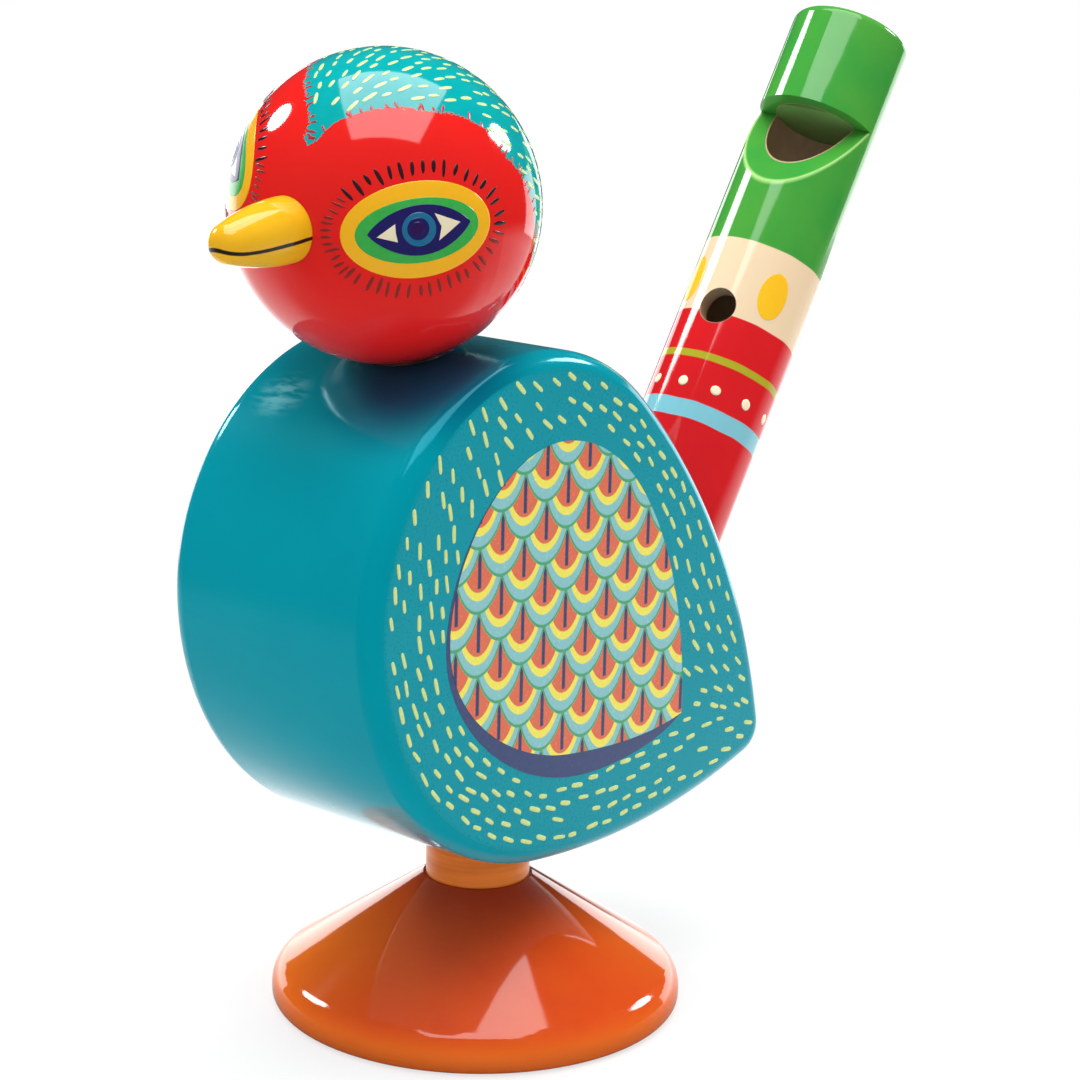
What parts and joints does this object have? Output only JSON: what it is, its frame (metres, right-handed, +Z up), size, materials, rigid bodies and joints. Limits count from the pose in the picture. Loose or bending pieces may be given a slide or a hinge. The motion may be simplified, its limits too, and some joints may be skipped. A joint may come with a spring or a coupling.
{
  "type": "bird call",
  "caption": "Lacquered wooden toy bird on a turned foot whose tail is a duct whistle with a mouth notch and a finger hole; ball head with a peg beak.",
  "frame": {"origin": "middle of the foot's flat underside, where the toy stands", "axes": "+Z up, the beak points to -Y, the whistle leans back to +Y, the bird's left side is +X"},
  "size_m": [0.06, 0.1501, 0.1423],
  "materials": {
    "foot_lacquer": "high-gloss orange lacquer on turned wood",
    "leg_lacquer": "satin brown-orange stain on a wooden dowel",
    "body_lacquer": "high-gloss teal lacquer with printed flat sides",
    "bare_wood": "bare beech dowel",
    "head_lacquer": "high-gloss red lacquer with a teal crown and painted eyes",
    "beak_lacquer": "gloss yellow lacquer",
    "whistle_lacquer": "gloss green, cream and red lacquer in bands",
    "block_wood": "bare wood with green lacquer run on to its ends"
  },
  "bodies": {
    "perch": {"foot": "foot_lacquer", "leg_dowel": "leg_lacquer", "body": "body_lacquer"},
    "head": {"head": "head_lacquer", "beak": "beak_lacquer", "neck_dowel": "bare_wood"},
    "whistle": {"whistle_tube": "whistle_lacquer", "fipple_block": "block_wood"}
  },
  "joints": [
    {"name": "head_turn", "type": "hinge", "parent": "perch", "child": "head", "pos_m": [0, -0.0213, 0.11827], "axis": [0, -0.2215, 0.9751], "continuous": true},
    {"name": "whistle_pull", "type": "slide", "parent": "perch", "child": "whistle", "axis": [0, 0.5329, 0.8462], "range_m": [0, 0.012]}
  ]
}
